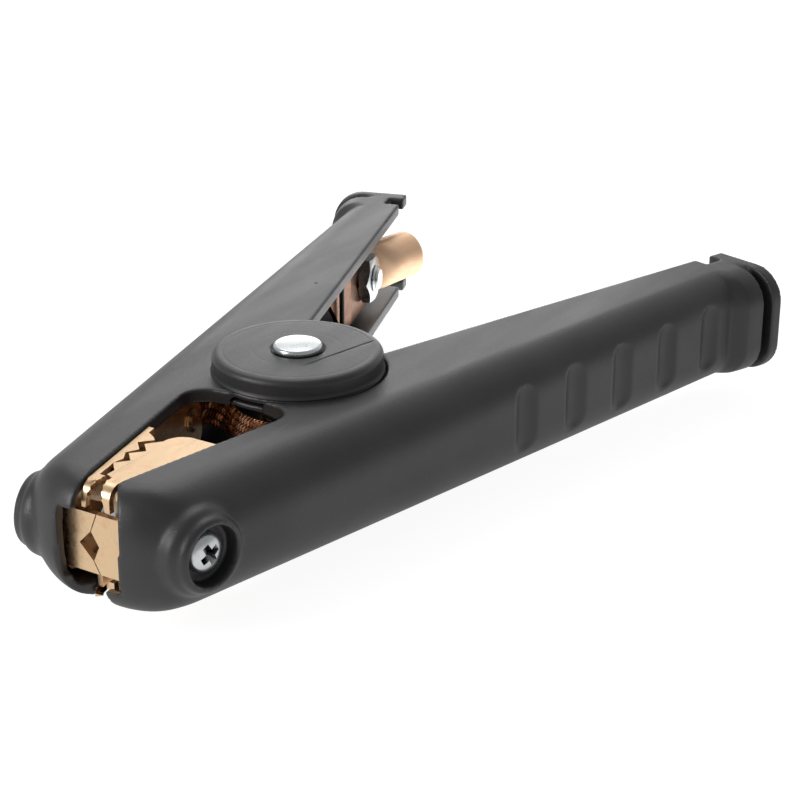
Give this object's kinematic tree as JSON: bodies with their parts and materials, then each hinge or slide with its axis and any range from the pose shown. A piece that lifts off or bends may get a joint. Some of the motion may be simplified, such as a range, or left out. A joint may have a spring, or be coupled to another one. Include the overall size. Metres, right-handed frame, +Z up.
{
  "type": "alligator clip lead clamp",
  "caption": "Insulated heavy-duty alligator clamp with toothed copper jaws, sprung pivot, current braid and a bolted crimp lug.",
  "frame": {"origin": "on the pivot's axis at the flat foot of the rivet, the clamp's lowest point", "axes": "+X back to the handle tails, +Y to the cable handle, +Z up along the pivot rivet; the jaws are at -X"},
  "size_m": [0.2163, 0.1486, 0.0436],
  "materials": {
    "black_plastic": "fine moulded grain",
    "copper": "bright pressed copper",
    "braided_copper": "woven bare copper",
    "zinc": "bright zinc plating",
    "spring_steel": "drawn spring wire"
  },
  "bodies": {
    "cable_handle": {"cable_handle_shell": "black_plastic", "top_pivot_cap": "black_plastic", "bottom_pivot_cap": "black_plastic", "cable_jaw": "copper", "cable_strap": "copper", "cable_lug": "copper", "cable_tail_rivet": "copper", "jaw_braid": "braided_copper", "cable_jaw_screw": "zinc", "cable_jaw_nut": "zinc", "lug_bolt": "zinc", "lug_lock_washer": "zinc", "lug_nut": "zinc", "pivot_rivet": "zinc", "pivot_sleeve": "zinc", "torsion_spring": "spring_steel"},
    "plain_handle": {"plain_handle_shell": "black_plastic", "plain_jaw": "copper", "plain_tail_rivet": "copper", "plain_jaw_screw": "zinc", "plain_jaw_nut": "zinc"}
  },
  "joints": [
    {"name": "jaw_pivot", "type": "hinge", "parent": "cable_handle", "child": "plain_handle", "pos_m": [0, 0, 0.0218], "axis": [0, 0, 1], "range_deg": [0, 36], "deforming": ["torsion_spring", "jaw_braid"]}
  ]
}
